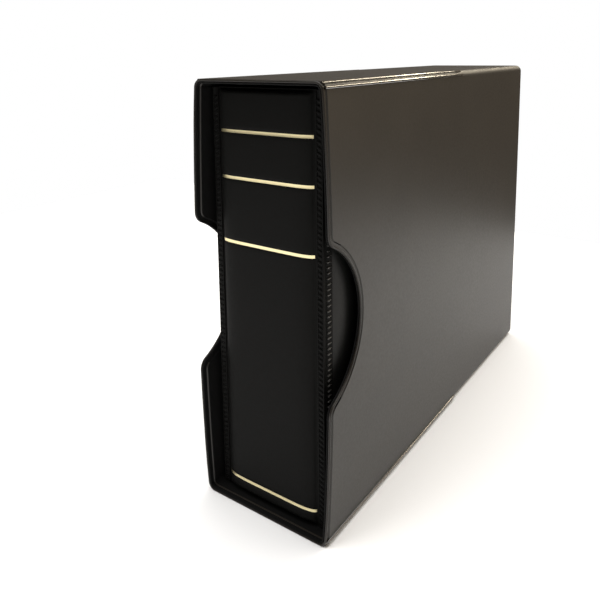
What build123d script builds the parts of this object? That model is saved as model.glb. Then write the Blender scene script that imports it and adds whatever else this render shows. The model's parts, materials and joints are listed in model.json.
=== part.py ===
from build123d import *

import os
from math import asin, cos, degrees, radians, sin

# Ring binder with slipcase, in millimetres.
# The case stands on its bottom wall with its open front towards -Y, and the spine of the binder shows there.
# The origin is the centre of the case on the surface that it stands on.
# A shelved book has its front cover on the right, so the front cover is the one at +X.

# Slipcase
CASE_WIDTH = 86.0
CASE_DEPTH = 318.0
CASE_HEIGHT = 250.0
CASE_WALL = 2.5
CASE_CORNER = 5.0
CASE_BOW = 3.4
BACK_BOW = 0.3
BACK_EDGE = 1.6
BEAD_WIDTH = 2.4
BEAD_PROUD = 0.4
CASE_LINING = 0.4
LINING_INSET = 1.2
SEAM_GAP = 0.1

# Thumb notches in the two side walls
NOTCH_RADIUS = 46.0
NOTCH_DEPTH = 31.0
NOTCH_ENTRY = 8.0

# Twin-ridged welts along the front part of the long edges
WELT_LENGTH = 181.0
WELT_RADIUS = 0.8
WELT_ANGLES = (22.0, 55.0)

# How the binder sits in the case
SPINE_RECESS = 6.0
REAR_GAP = 0.5
SIDE_GAP = 3.1
TOP_GAP = 1.6
RUNNING_GAP = 0.3

# Spine
SPINE_CROWN = 3.0
SPINE_PAD = 6.0
PAD_FLANGE = 1.2
PAD_ROLL = 9.0
SPINE_BOARD = 2.5
STITCH_WIDTH = 4.2
STITCH_DEPTH = 2.0
STITCH_PROUD = 0.4
STITCH_EDGE = 0.9
STITCH_INSET = 0.2
BOARD_INSET = 0.6

# Gold lines across the spine: the top three are set from its top edge, the last from its foot
GOLD_WIDTH = 1.7
GOLD_PROUD = 0.25
GOLD_DROPS = (24.0, 50.0, 87.0)
GOLD_RISE = 9.0

# Covers
COVER_THICK = 4.0
COVER_BOARD = 2.3
COVER_LINING = 0.5
COVER_CORNER = 6.0
COVER_EDGE = 1.2
TURN_IN = 1.0
LINING_BORDER = 6.0
HINGE_RADIUS = 1.0
HINGE_NECK = 1.0
HINGE_GAP = 0.5
HINGE_WALL = 1.0
COVER_STITCH_PROUD = 0.3

# Ring mechanism
RING_SPACING = (-77.5, -32.5, 32.5, 77.5)
RING_RADIUS = 21.0
RING_WIRE = 1.75
RING_TIP_GAP = 0.4
RING_FOOT = 11.0
CHANNEL_WIDTH = 32.0
CHANNEL_SIDE = 3.2
CHANNEL_HEIGHT = 7.8
CHANNEL_SHEET = 0.8
CHANNEL_LENGTH = 204.0
RING_SLOT = 5.6
SLOT_FLOOR = 1.0
SLOT_END_GAP = 1.0
BLADE_THICK = 1.2
BLADE_LIFT = 0.5
BLADE_GAP = 0.6
BLADE_SIDE_GAP = 0.6
BLADE_END_GAP = 0.5
RIVET_SPACING = 110.0
RIVET_SHANK = 1.6
RIVET_HEAD = 3.4
RIVET_DOME = 1.2
RIVET_EDGE = 1.0
RIVET_GAP = 0.5

# Levers that open the rings, one at each end of the channel
PIN_RADIUS = 0.8
PIN_FIT = 0.06
LEVER_INSET = 4.0
LEVER_HUB = 1.6
LEVER_WIDTH = 16.0
LEVER_TONGUE = 7.0
LEVER_REACH = 15.0
LEVER_SHEET = 1.4
LEVER_CURL = 2.2
LEVER_CORNER = 2.0
LEVER_BEND = 1.2
LEVER_GAP = 0.3
LEVER_SIDE_GAP = 1.0

# Places worked out from the sizes above
front = -CASE_DEPTH / 2
back = CASE_DEPTH / 2
seam_x = CASE_WIDTH / 2 - CASE_CORNER
wall_front = front + BEAD_WIDTH
mid_height = CASE_HEIGHT / 2
half_thick = CASE_WIDTH / 2 - CASE_WALL - max(CASE_LINING, BEAD_PROUD) - SIDE_GAP
binder_foot = CASE_WALL + BEAD_PROUD + RUNNING_GAP
binder_top = CASE_HEIGHT - CASE_WALL - BEAD_PROUD - TOP_GAP
binder_height = binder_top - binder_foot
binder_mid = (binder_top + binder_foot) / 2
spine_y = front + SPINE_RECESS
cover_rear = back - CASE_WALL - REAR_GAP
pad_half = half_thick - STITCH_WIDTH - STITCH_INSET
pad_edge_y = spine_y + SPINE_CROWN
stitch_y = pad_edge_y - STITCH_PROUD
stitch_back = stitch_y + STITCH_DEPTH
board_y = spine_y + SPINE_PAD
spine_inner_y = board_y + SPINE_BOARD + COVER_LINING
cover_inner_x = half_thick - COVER_THICK
cover_front = stitch_back + HINGE_GAP
board_x = cover_inner_x + COVER_LINING
hinge_x = (board_x + half_thick) / 2
hinge_y = stitch_back + HINGE_RADIUS
board_front = hinge_y + HINGE_RADIUS + RUNNING_GAP + HINGE_WALL
blade_y = spine_inner_y + BLADE_LIFT + BLADE_THICK / 2
blade_axis_x = CHANNEL_WIDTH / 2 - CHANNEL_SHEET - BLADE_SIDE_GAP
ring_centre_y = blade_y + (RING_RADIUS**2 - RING_FOOT**2) ** 0.5
pin_z = CHANNEL_LENGTH / 2 - LEVER_INSET
pin_y = spine_inner_y + LEVER_HUB + LEVER_GAP
lever_room = LEVER_INSET + LEVER_HUB + LEVER_SIDE_GAP
blade_length = 2 * (pin_z - LEVER_TONGUE - BLADE_END_GAP)


# Slipcase


def side_section(y, bow, outside=0.0, inside=0.0):
    """The right-hand wall cut across at depth y, bowed out at mid height, with its rounded long edges."""
    outer = CASE_CORNER + outside
    inner = CASE_CORNER - CASE_WALL - inside
    outer_x = seam_x + outer
    inner_x = seam_x + inner
    with BuildSketch(Plane.XZ.offset(-y)) as section:
        with BuildLine():
            CenterArc((seam_x, outer), outer, -90, 90)
            ThreePointArc(
                (outer_x, outer), (outer_x + bow, mid_height), (outer_x, CASE_HEIGHT - outer)
            )
            CenterArc((seam_x, CASE_HEIGHT - outer), outer, 0, 90)
            Line((seam_x, CASE_HEIGHT), (seam_x, CASE_HEIGHT - CASE_CORNER + inner))
            CenterArc((seam_x, CASE_HEIGHT - CASE_CORNER), inner, 0, 90)
            ThreePointArc(
                (inner_x, CASE_HEIGHT - CASE_CORNER), (inner_x + bow, mid_height), (inner_x, CASE_CORNER)
            )
            CenterArc((seam_x, CASE_CORNER), inner, -90, 90)
            Line((seam_x, CASE_CORNER - inner), (seam_x, 0))
        make_face()
    return section.sketch


def side_outline(inset):
    """The side wall seen from the side, with its front edge and its thumb notch set back by inset."""
    with BuildSketch(Plane.YZ) as outline:
        with Locations(((front + inset + back) / 2, mid_height)):
            Rectangle(CASE_DEPTH - inset, CASE_HEIGHT)
        with Locations((front + NOTCH_DEPTH - NOTCH_RADIUS, mid_height)):
            Circle(NOTCH_RADIUS + inset, mode=Mode.SUBTRACT)
        mouth = outline.vertices().group_by(Axis.X)[0].sort_by(Axis.Y)[1:-1]
        fillet(mouth, radius=NOTCH_ENTRY - inset)
    return outline.sketch


def mirrored(piece):
    """The same piece on the other side of the object."""
    with BuildPart() as copy:
        mirror(piece.part, about=Plane.YZ)
    return copy


def outer_side(edge):
    """How far the middle of an edge is from the centre of the case, so that outer edges sort last."""
    middle = edge @ 0.5
    return max(middle.X / CASE_WIDTH, abs(middle.Z - mid_height) / CASE_HEIGHT)


with BuildPart() as case_right_wall:
    loft([side_section(front, CASE_BOW), side_section(back, BACK_BOW)], ruled=True)
    extrude(side_outline(BEAD_WIDTH), amount=CASE_WIDTH, mode=Mode.INTERSECT)
    rear_face = case_right_wall.faces().sort_by(Axis.Y)[-1]
    fillet(rear_face.edges().filter_by(GeomType.LINE, reverse=True).sort_by(outer_side)[-3:], BACK_EDGE)

# The turned-over edge round the open front, thicker than the wall behind it
with BuildPart() as case_right_bead:
    loft(
        [
            side_section(front, CASE_BOW, BEAD_PROUD, BEAD_PROUD),
            side_section(back, BACK_BOW, BEAD_PROUD, BEAD_PROUD),
        ],
        ruled=True,
    )
    extrude(side_outline(0), amount=CASE_WIDTH, mode=Mode.INTERSECT)
    extrude(side_outline(BEAD_WIDTH), amount=CASE_WIDTH, mode=Mode.SUBTRACT)


def lining_section(y, bow):
    """The lining of the right-hand wall cut across at depth y."""
    outer_x = CASE_WIDTH / 2 - CASE_WALL
    inner_x = outer_x - CASE_LINING
    low = CASE_CORNER
    high = CASE_HEIGHT - CASE_CORNER
    with BuildSketch(Plane.XZ.offset(-y)) as section:
        with BuildLine():
            ThreePointArc((outer_x, low), (outer_x + bow, mid_height), (outer_x, high))
            Line((outer_x, high), (inner_x, high))
            ThreePointArc((inner_x, high), (inner_x + bow, mid_height), (inner_x, low))
            Line((inner_x, low), (outer_x, low))
        make_face()
    return section.sketch


with BuildPart() as case_right_lining:
    loft([lining_section(front, CASE_BOW), lining_section(back, BACK_BOW)], ruled=True)
    extrude(side_outline(BEAD_WIDTH + LINING_INSET), amount=CASE_WIDTH, mode=Mode.INTERSECT)
    with BuildSketch(Plane.XZ.offset(-back)):
        with Locations((CASE_WIDTH / 2, mid_height)):
            Rectangle(CASE_WIDTH / 2, CASE_HEIGHT)
    extrude(amount=CASE_WALL + SEAM_GAP, mode=Mode.SUBTRACT)

with BuildPart() as case_bottom_wall:
    with BuildSketch():
        with Locations((0, (wall_front + back) / 2)):
            Rectangle(2 * seam_x, back - wall_front)
    extrude(amount=CASE_WALL)
    fillet(case_bottom_wall.edges().filter_by(Axis.X).sort_by(Axis.Y)[-2:].sort_by(Axis.Z)[0], BACK_EDGE)

with BuildPart() as case_bottom_bead:
    with BuildSketch():
        with Locations((0, (front + wall_front) / 2)):
            Rectangle(2 * seam_x, BEAD_WIDTH)
    extrude(amount=CASE_WALL + BEAD_PROUD)
    fillet(case_bottom_bead.edges().filter_by(Axis.X).sort_by(Axis.Y)[:2], BEAD_PROUD)

with BuildPart() as case_top_wall:
    mirror(case_bottom_wall.part, about=Plane.XY.offset(mid_height))

with BuildPart() as case_top_bead:
    mirror(case_bottom_bead.part, about=Plane.XY.offset(mid_height))

with BuildPart() as case_back_wall:
    with BuildSketch(Plane.XZ.offset(-back)):
        with Locations((0, mid_height)):
            RectangleRounded(
                CASE_WIDTH - 2 * (CASE_WALL + SEAM_GAP),
                CASE_HEIGHT - 2 * (CASE_WALL + SEAM_GAP),
                CASE_CORNER - CASE_WALL - SEAM_GAP,
            )
    extrude(amount=CASE_WALL)

with BuildPart() as case_top_right_welt:
    with BuildSketch(Plane.XZ.offset(-front)):
        with Locations((seam_x, CASE_HEIGHT - CASE_CORNER)):
            for angle in WELT_ANGLES:
                with Locations((CASE_CORNER * cos(radians(angle)), CASE_CORNER * sin(radians(angle)))):
                    Circle(WELT_RADIUS)
            Circle(CASE_CORNER, mode=Mode.SUBTRACT)
    extrude(amount=-WELT_LENGTH)
    with BuildSketch(Plane.XZ.offset(-front)):
        with Locations((CASE_WIDTH / 2, mid_height)):
            Rectangle(CASE_WIDTH, 2 * CASE_HEIGHT)
    extrude(amount=-BEAD_WIDTH, mode=Mode.SUBTRACT)

with BuildPart() as case_bottom_right_welt:
    mirror(case_top_right_welt.part, about=Plane.XY.offset(mid_height))


# Spine


def padding_section(plane, half, forward=0.0):
    """The padding cut across on a plane: flat in front and rolled back at both sides, moved forward."""
    crown_y = spine_y - forward
    edge_y = pad_edge_y - forward
    with BuildSketch(plane) as section:
        with BuildLine():
            Line((PAD_ROLL - half, crown_y), (half - PAD_ROLL, crown_y))
            TangentArc((half - PAD_ROLL, crown_y), (half, edge_y), tangent=(1, 0))
            Polyline((half, edge_y), (half, board_y), (-half, board_y), (-half, edge_y))
            TangentArc((PAD_ROLL - half, crown_y), (-half, edge_y), tangent=(-1, 0))
        make_face()
    return section.sketch


padding_half = pad_half - PAD_FLANGE
from_the_side = Plane(origin=(0, 0, binder_mid), x_dir=(0, 0, 1), z_dir=(-1, 0, 0))

with BuildPart() as spine_pad:
    extrude(padding_section(Plane.XY.offset(binder_foot), padding_half), amount=binder_height)
    long_section = padding_section(from_the_side, binder_height / 2 - PAD_FLANGE)
    extrude(long_section, amount=pad_half, both=True, mode=Mode.INTERSECT)
    # The welded flange that the padding rises from
    with BuildSketch(Plane.XZ.offset(-pad_edge_y)):
        with Locations((0, binder_mid)):
            Rectangle(2 * pad_half, binder_height)
    extrude(amount=pad_edge_y - board_y)


def gold_line(z):
    """One foil line across the padding, centred at height z."""
    plane = Plane.XY.offset(z - GOLD_WIDTH / 2)
    with BuildPart() as line:
        extrude(padding_section(plane, padding_half, GOLD_PROUD), amount=GOLD_WIDTH)
        extrude(padding_section(plane, padding_half), amount=GOLD_WIDTH, mode=Mode.SUBTRACT)
    return line


gold_heights = [binder_top - drop for drop in GOLD_DROPS] + [binder_foot + GOLD_RISE]
gold_lines = [gold_line(z) for z in gold_heights]

with BuildPart() as spine_board:
    with BuildSketch(Plane.XZ.offset(-board_y)):
        with Locations((0, binder_mid)):
            RectangleRounded(2 * (pad_half - BOARD_INSET), binder_height - 2 * TURN_IN, COVER_EDGE)
            with GridLocations(0, RIVET_SPACING, 1, 2):
                Circle(RIVET_SHANK, mode=Mode.SUBTRACT)
    extrude(amount=-SPINE_BOARD)

with BuildPart() as spine_lining:
    with BuildSketch(Plane.XZ.offset(-board_y - SPINE_BOARD)):
        with Locations((0, binder_mid)):
            RectangleRounded(2 * (pad_half - BOARD_INSET), binder_height - 2 * TURN_IN, COVER_EDGE)
            with GridLocations(0, RIVET_SPACING, 1, 2):
                Circle(RIVET_SHANK, mode=Mode.SUBTRACT)
    extrude(amount=-COVER_LINING)

# The welded stitch rib down the corner of the spine
with BuildPart() as spine_front_stitch:
    with BuildSketch(Plane.XY.offset(binder_foot)):
        with Locations((pad_half + STITCH_WIDTH / 2, stitch_y + STITCH_DEPTH / 2)):
            Rectangle(STITCH_WIDTH, STITCH_DEPTH)
    extrude(amount=binder_height)
    fillet(spine_front_stitch.edges().filter_by(Axis.Z).sort_by(Axis.Y)[:2], STITCH_EDGE)

# The folded leatherette that the cover turns on
with BuildPart() as front_hinge_fold:
    with BuildSketch(Plane.XY.offset(binder_foot)):
        with Locations((hinge_x, hinge_y)):
            Circle(HINGE_RADIUS)
        with Locations((hinge_x, (hinge_y + stitch_back) / 2)):
            Rectangle(HINGE_NECK, hinge_y - stitch_back)
    extrude(amount=binder_height)


# Covers


def cover_outline(x, start, inset, corner):
    """A layer of the cover seen from the side, at x, from start back, set in by inset at its other edges."""
    end = cover_rear - inset
    with BuildSketch(Plane.YZ.offset(x)) as outline:
        with Locations(((start + end) / 2, binder_mid)):
            Rectangle(end - start, binder_height - 2 * inset)
        fillet(outline.vertices().group_by(Axis.X)[-1], radius=corner)
    return outline.sketch


# The board lies in the skin, which wraps its edges and has a groove down its front end for the fold
with BuildPart() as front_cover_board:
    extrude(cover_outline(board_x, board_front, TURN_IN, COVER_CORNER - TURN_IN), amount=COVER_BOARD)

with BuildPart() as front_cover_skin:
    extrude(cover_outline(board_x, cover_front, 0, COVER_CORNER), amount=COVER_THICK - COVER_LINING)
    fillet(front_cover_skin.faces().sort_by(Axis.X)[-1].edges(), COVER_EDGE)
    add(front_cover_board.part, mode=Mode.SUBTRACT)
    with BuildSketch(Plane.XY.offset(binder_foot)):
        with Locations((hinge_x, hinge_y)):
            Circle(HINGE_RADIUS + RUNNING_GAP)
    extrude(amount=binder_height, mode=Mode.SUBTRACT)

with BuildPart() as front_cover_lining:
    extrude(cover_outline(cover_inner_x, board_front, LINING_BORDER, COVER_CORNER), amount=COVER_LINING)

# The second stitch rib, on the cover just behind the corner
with BuildPart() as front_cover_stitch:
    with BuildSketch(Plane.YZ.offset(half_thick)):
        with Locations((cover_front + COVER_EDGE + STITCH_WIDTH / 2, binder_mid)):
            Rectangle(STITCH_WIDTH, binder_height - 2 * COVER_EDGE)
    extrude(amount=COVER_STITCH_PROUD)


# Ring mechanism


def channel_profile(trim):
    """The arched channel in section, smaller by trim all round but at its open foot."""
    half = CHANNEL_WIDTH / 2 - trim
    side_y = spine_inner_y + CHANNEL_SIDE
    crown_y = spine_inner_y + CHANNEL_HEIGHT - trim
    with BuildSketch(Plane.XY.offset(binder_mid - CHANNEL_LENGTH / 2)) as profile:
        with BuildLine():
            ThreePointArc((-half, side_y), (0, crown_y), (half, side_y))
            Polyline((half, side_y), (half, spine_inner_y), (-half, spine_inner_y), (-half, side_y))
        make_face()
    return profile.sketch


with BuildPart() as ring_channel:
    extrude(channel_profile(0), amount=CHANNEL_LENGTH)
    extrude(channel_profile(CHANNEL_SHEET), amount=CHANNEL_LENGTH, mode=Mode.SUBTRACT)
    # Slots that the rings come out through
    with BuildSketch(Plane.XZ.offset(-spine_inner_y - SLOT_FLOOR)):
        for z in RING_SPACING:
            for side in (-1, 1):
                with Locations((side * (RING_FOOT + CHANNEL_WIDTH / 2) / 2, binder_mid + z)):
                    Rectangle(CHANNEL_WIDTH / 2 - RING_FOOT + 2 * (RING_WIRE + SLOT_END_GAP), RING_SLOT)
        with Locations((0, binder_mid)):
            with GridLocations(0, RIVET_SPACING, 1, 2):
                Circle(RIVET_SHANK)
    extrude(amount=-CHANNEL_HEIGHT, mode=Mode.SUBTRACT)
    # The crown is cut away over each lever
    with BuildSketch(Plane.XZ.offset(-spine_inner_y)):
        for end in (-1, 1):
            with Locations((0, binder_mid + end * (pin_z + LEVER_INSET - lever_room / 2))):
                Rectangle(LEVER_WIDTH + 2 * LEVER_SIDE_GAP, lever_room)
    extrude(amount=-CHANNEL_HEIGHT, mode=Mode.SUBTRACT)
    # Holes for the lever pins
    with BuildSketch(Plane.YZ):
        for end in (-1, 1):
            with Locations((pin_y, binder_mid + end * pin_z)):
                Circle(PIN_RADIUS)
    extrude(amount=CHANNEL_WIDTH, both=True, mode=Mode.SUBTRACT)

with BuildPart() as lever_pins:
    with BuildSketch(Plane.YZ):
        for end in (-1, 1):
            with Locations((pin_y, binder_mid + end * pin_z)):
                Circle(PIN_RADIUS)
    extrude(amount=CHANNEL_WIDTH / 2, both=True)

rivet_crown = spine_inner_y + CHANNEL_HEIGHT

with BuildPart() as mechanism_rivets:
    with BuildSketch(Plane.XZ.offset(-board_y)):
        with Locations((0, binder_mid)):
            with GridLocations(0, RIVET_SPACING, 1, 2):
                Circle(RIVET_SHANK)
    extrude(amount=board_y - rivet_crown)
    with BuildSketch(Plane.XZ.offset(-rivet_crown)):
        with Locations((0, binder_mid)):
            with GridLocations(0, RIVET_SPACING, 1, 2):
                Circle(RIVET_HEAD)
    extrude(amount=-RIVET_DOME)
    fillet(mechanism_rivets.faces().sort_by(Axis.Y)[-2:].edges(), RIVET_EDGE)

with BuildPart() as right_blade:
    with BuildSketch(Plane.XZ.offset(-blade_y + BLADE_THICK / 2)):
        with Locations(((blade_axis_x + BLADE_GAP / 2) / 2, binder_mid)):
            Rectangle(blade_axis_x - BLADE_GAP / 2, blade_length)
        with Locations((0, binder_mid)):
            with GridLocations(0, RIVET_SPACING, 1, 2):
                Circle(RIVET_SHANK + RIVET_GAP, mode=Mode.SUBTRACT)
    extrude(amount=-BLADE_THICK)

foot_angle = degrees(asin((blade_y + BLADE_THICK / 2 - ring_centre_y) / RING_RADIUS))
tip_angle = degrees(RING_TIP_GAP / 2 / RING_RADIUS)


def ring_half(z):
    """One right-hand half of a ring, from its blade round to the tip."""
    with BuildPart() as half:
        with BuildLine(Plane.XY.offset(binder_mid + z)) as bend:
            CenterArc((0, ring_centre_y), RING_RADIUS, foot_angle, 90 - tip_angle - foot_angle)
        with BuildSketch(Plane(bend.line @ 0, z_dir=bend.line % 0)):
            Circle(RING_WIRE)
        sweep()
    return half


with BuildPart() as right_ring_halves:
    for half in [ring_half(z) for z in RING_SPACING]:
        add(half.part)
    # The feet are cut flat where they are riveted to the blade
    with BuildSketch(Plane.XZ.offset(-blade_y - BLADE_THICK / 2)):
        with Locations((0, binder_mid)):
            Rectangle(2 * CHANNEL_WIDTH, CASE_HEIGHT)
    extrude(amount=CHANNEL_HEIGHT, mode=Mode.SUBTRACT)

with BuildPart() as upper_lever:
    # Hub, tongue and finger plate in one bent piece, drawn from the side
    with BuildSketch(Plane.YZ.offset(-LEVER_WIDTH / 2)):
        with Locations((pin_y, binder_mid + pin_z)):
            Circle(LEVER_HUB)
            with Locations((0, -LEVER_TONGUE / 2)):
                Rectangle(LEVER_SHEET, LEVER_TONGUE)
            with Locations((LEVER_REACH / 2, LEVER_HUB - LEVER_SHEET / 2)):
                Rectangle(LEVER_REACH, LEVER_SHEET)
            with Locations((LEVER_REACH, LEVER_HUB + LEVER_CURL / 2 - LEVER_SHEET)):
                Rectangle(LEVER_SHEET, LEVER_CURL + LEVER_SHEET)
            Circle(PIN_RADIUS + PIN_FIT, mode=Mode.SUBTRACT)
    extrude(amount=LEVER_WIDTH)
    fillet(upper_lever.edges().filter_by(Axis.X).sort_by(Axis.Y)[-2:].sort_by(Axis.Z)[0], LEVER_BEND)
    fillet(upper_lever.faces().sort_by(Axis.Z)[-1].edges().filter_by(Axis.Y), LEVER_CORNER)

with BuildPart() as lower_lever:
    mirror(upper_lever.part, about=Plane.XY.offset(binder_mid))

pieces = {
    "case_right_wall": case_right_wall,
    "case_left_wall": mirrored(case_right_wall),
    "case_top_wall": case_top_wall,
    "case_bottom_wall": case_bottom_wall,
    "case_back_wall": case_back_wall,
    "case_right_bead": case_right_bead,
    "case_left_bead": mirrored(case_right_bead),
    "case_top_bead": case_top_bead,
    "case_bottom_bead": case_bottom_bead,
    "case_right_lining": case_right_lining,
    "case_left_lining": mirrored(case_right_lining),
    "case_top_right_welt": case_top_right_welt,
    "case_top_left_welt": mirrored(case_top_right_welt),
    "case_bottom_right_welt": case_bottom_right_welt,
    "case_bottom_left_welt": mirrored(case_bottom_right_welt),
    "spine_pad": spine_pad,
    "spine_board": spine_board,
    "spine_lining": spine_lining,
    "spine_front_stitch": spine_front_stitch,
    "spine_back_stitch": mirrored(spine_front_stitch),
    "front_hinge_fold": front_hinge_fold,
    "back_hinge_fold": mirrored(front_hinge_fold),
    "front_cover_skin": front_cover_skin,
    "front_cover_board": front_cover_board,
    "front_cover_lining": front_cover_lining,
    "front_cover_stitch": front_cover_stitch,
    "back_cover_skin": mirrored(front_cover_skin),
    "back_cover_board": mirrored(front_cover_board),
    "back_cover_lining": mirrored(front_cover_lining),
    "back_cover_stitch": mirrored(front_cover_stitch),
    "ring_channel": ring_channel,
    "mechanism_rivets": mechanism_rivets,
    "lever_pins": lever_pins,
    "right_blade": right_blade,
    "left_blade": mirrored(right_blade),
    "right_ring_halves": right_ring_halves,
    "left_ring_halves": mirrored(right_ring_halves),
    "upper_lever": upper_lever,
    "lower_lever": lower_lever,
}
for number, line in enumerate(gold_lines, start=1):
    pieces[f"spine_gold_line_{number}"] = line

os.makedirs("parts", exist_ok=True)
for name, piece in pieces.items():
    piece.part.label = name
    export_step(piece.part, f"parts/{name}.step")
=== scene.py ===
import json
from math import acos, cos, hypot, pi, radians, sin, sqrt

import bmesh
import bpy
from bpy.props import FloatProperty, FloatVectorProperty, PointerProperty, StringProperty
from bpy.types import Operator, Panel, PropertyGroup
from mathutils import Matrix, Vector


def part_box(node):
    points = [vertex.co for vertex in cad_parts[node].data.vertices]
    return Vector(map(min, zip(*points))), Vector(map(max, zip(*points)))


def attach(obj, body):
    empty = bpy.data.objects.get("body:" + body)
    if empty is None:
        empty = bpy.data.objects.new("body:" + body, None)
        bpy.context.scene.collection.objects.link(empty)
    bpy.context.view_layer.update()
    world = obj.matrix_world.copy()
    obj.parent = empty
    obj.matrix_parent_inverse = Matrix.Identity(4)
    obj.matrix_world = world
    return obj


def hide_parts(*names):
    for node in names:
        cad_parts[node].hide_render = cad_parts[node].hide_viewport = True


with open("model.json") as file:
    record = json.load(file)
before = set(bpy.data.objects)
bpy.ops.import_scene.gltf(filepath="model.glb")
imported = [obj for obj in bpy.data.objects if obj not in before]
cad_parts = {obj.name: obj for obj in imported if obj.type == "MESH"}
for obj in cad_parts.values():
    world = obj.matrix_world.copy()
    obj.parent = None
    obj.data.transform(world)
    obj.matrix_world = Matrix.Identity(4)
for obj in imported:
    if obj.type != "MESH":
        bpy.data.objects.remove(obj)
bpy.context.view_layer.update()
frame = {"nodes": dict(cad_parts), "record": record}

bl_info = {
    "name": "Ring binder with slipcase",
    "version": (1, 0, 0),
    "blender": (4, 5, 0),
    "location": "View3D > Sidebar > Binder",
    "description": "Builds the looks of a leatherette ring binder in its slipcase around the packed model",
    "category": "Object",
}

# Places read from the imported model, in metres
MM = 0.001
# Two places closer than this are taken as one
CLOSE = 0.01 * MM
wall_low, wall_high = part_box("case_right_wall")
bead_low, bead_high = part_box("case_right_bead")
top_low, top_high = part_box("case_top_wall")
pad_low, pad_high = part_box("spine_pad")
front_y = bead_low.y
back_y = wall_high.y
case_top = top_high.z
middle_z = case_top / 2
wall_thick = top_high.z - top_low.z
seam_x = top_high.x
corner_round = 2 * wall_thick
outer_x = seam_x + corner_round
inner_x = outer_x - wall_thick
binder_foot = pad_low.z
binder_top = pad_high.z


class CaseSettings(PropertyGroup):
    """Sizes of the slipcase, and the colours of case, binder and foil."""

    notch_radius: FloatProperty(
        name="Notch radius",
        description="Radius of the thumb notch",
        default=46 * MM,
        subtype="DISTANCE",
    )
    notch_depth: FloatProperty(
        name="Notch depth",
        description="How far the thumb notch reaches in",
        default=31 * MM,
        subtype="DISTANCE",
    )
    notch_entry: FloatProperty(
        name="Notch entry",
        description="Radius where the front edge turns in",
        default=8 * MM,
        subtype="DISTANCE",
    )
    front_bow: FloatProperty(
        name="Front bow",
        description="How far a side bows out at the front",
        default=3.4 * MM,
        subtype="DISTANCE",
    )
    back_bow: FloatProperty(
        name="Back bow",
        description="How far a side bows out at the back",
        default=0.3 * MM,
        subtype="DISTANCE",
    )
    bead_proud: FloatProperty(
        name="Bead height",
        description="How far the beads stand out of a side",
        default=0.4 * MM,
        subtype="DISTANCE",
    )
    bead_radius: FloatProperty(
        name="Bead radius",
        description="Radius of the outer bead",
        default=0.7 * MM,
        subtype="DISTANCE",
    )
    groove_width: FloatProperty(
        name="Groove width",
        description="Pressed line behind the beads",
        default=1.9 * MM,
        subtype="DISTANCE",
    )
    welt_radius: FloatProperty(
        name="Welt radius",
        description="Radius of a welded ridge",
        default=0.9 * MM,
        subtype="DISTANCE",
    )
    web: FloatProperty(
        name="Web thickness",
        description="Leatherette left in the pressed line",
        default=1.2 * MM,
        subtype="DISTANCE",
    )
    case_colour: StringProperty(
        name="Case colour",
        description="Leatherette of the slipcase, as sRGB hex",
        default="#221f1b",
    )
    binder_colour: StringProperty(
        name="Binder colour",
        description="Leatherette of the binder, as sRGB hex",
        default="#0d0d0c",
    )
    gold_colour: StringProperty(
        name="Foil colour",
        description="Gold foil, as sRGB hex",
        default="#ecdfb2",
    )


class BinderSettings(PropertyGroup):
    """Sizes of the padded binder."""

    crown: FloatProperty(
        name="Crown",
        description="How far the spine's padding swells",
        default=3.2 * MM,
        subtype="DISTANCE",
    )
    flatness: FloatProperty(
        name="Flatness",
        description="Power of the spine's rounding to its sides",
        default=7.0,
    )
    flange: FloatProperty(
        name="Flange",
        description="Welded border round the padding",
        default=1.1 * MM,
        subtype="DISTANCE",
    )
    roll: FloatProperty(
        name="Roll",
        description="How soon the padding rises from its weld",
        default=2.2 * MM,
        subtype="DISTANCE",
    )
    stamp_depth: FloatProperty(
        name="Stamp depth",
        description="How deep the foil is pressed in",
        default=0.3 * MM,
        subtype="DISTANCE",
    )
    foil_width: FloatProperty(
        name="Foil width",
        description="Height of a gold line",
        default=1.7 * MM,
        subtype="DISTANCE",
    )
    stitch_pitch: FloatProperty(
        name="Stitch pitch",
        description="From one moulded stitch to the next",
        default=3.0 * MM,
        subtype="DISTANCE",
    )
    stitch_slant: FloatProperty(
        name="Stitch slant",
        description="How far a stitch leans",
        default=radians(28),
        subtype="ANGLE",
    )
    cover_slant: FloatProperty(
        name="Cover slant",
        description="How far a stitch on a cover leans",
        default=0.06,
        subtype="ANGLE",
    )
    fold_thickness: FloatProperty(
        name="Fold",
        description="Leatherette folded over the spine board's ends",
        default=0.8 * MM,
        subtype="DISTANCE",
    )
    sheet_thickness: FloatProperty(
        name="Sheet",
        description="Leatherette pasted down inside a cover",
        default=0.3 * MM,
        subtype="DISTANCE",
    )
    turn_in: FloatProperty(
        name="Turn-in",
        description="How far the leatherette is turned in on a board",
        default=5.2 * MM,
        subtype="DISTANCE",
    )
    cover_puff: FloatProperty(
        name="Cover padding",
        description="How far a cover's padding swells",
        default=0.7 * MM,
        subtype="DISTANCE",
    )
    cover_belly: FloatProperty(
        name="Cover belly",
        description="Further swell at a cover's front middle",
        default=2.2 * MM,
        subtype="DISTANCE",
    )


class StageSettings(PropertyGroup):
    """Camera and floor."""

    camera_place: FloatVectorProperty(
        name="Camera place",
        description="Where the camera stands",
        default=(0.2089, -0.4118, 0.2636),
        subtype="XYZ",
    )
    azimuth: FloatProperty(
        name="Azimuth",
        description="Turn of the camera round the object",
        default=radians(35.427),
        subtype="ANGLE",
    )
    elevation: FloatProperty(
        name="Elevation",
        description="How far the camera looks down",
        default=radians(8.763),
        subtype="ANGLE",
    )
    roll: FloatProperty(
        name="Roll",
        description="Tilt of the camera",
        default=radians(-0.698),
        subtype="ANGLE",
    )
    lens: FloatProperty(
        name="Lens",
        description="Focal length in millimetres",
        default=37.92,
    )
    shift: FloatProperty(
        name="Shift",
        description="Vertical shift of the frame",
        default=-0.25,
    )
    floor_colour: StringProperty(
        name="Floor colour",
        description="Pale floor, as sRGB hex",
        default="#fafafa",
    )


# Materials


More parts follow.
